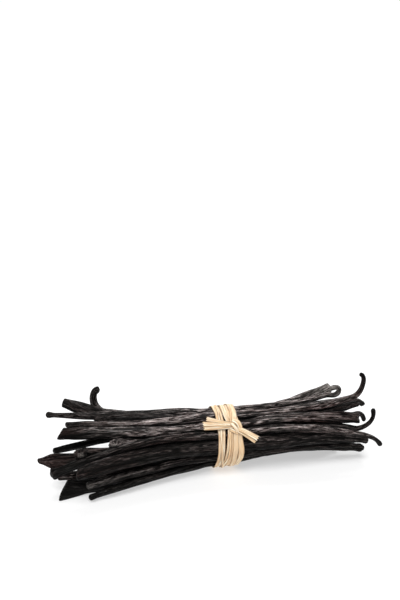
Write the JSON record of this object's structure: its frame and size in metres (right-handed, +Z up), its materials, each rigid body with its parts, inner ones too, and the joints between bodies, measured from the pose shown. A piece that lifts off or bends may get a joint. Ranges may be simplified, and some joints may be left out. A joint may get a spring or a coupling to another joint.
{
  "type": "bundle of vanilla pods",
  "caption": "Long dark cured vanilla pods with curled and knobbed ends, lying side by side and tied round the middle with knotted straw-coloured raffia.",
  "frame": {"origin": "on the surface that the bundle lies on, under the middle of its bounding box", "axes": "+X along the bundle towards its curled stem ends, +Y to its back, +Z up"},
  "size_m": [0.1911, 0.0577, 0.0498],
  "materials": {
    "pod_skin": "dark brown wrinkled skin with an oily sheen",
    "raffia": "dry pale straw fibre, matt with a slight silky sheen"
  },
  "bodies": {
    "root": {"vanilla_pods": "pod_skin", "raffia_tie": "raffia"}
  },
  "joints": []
}
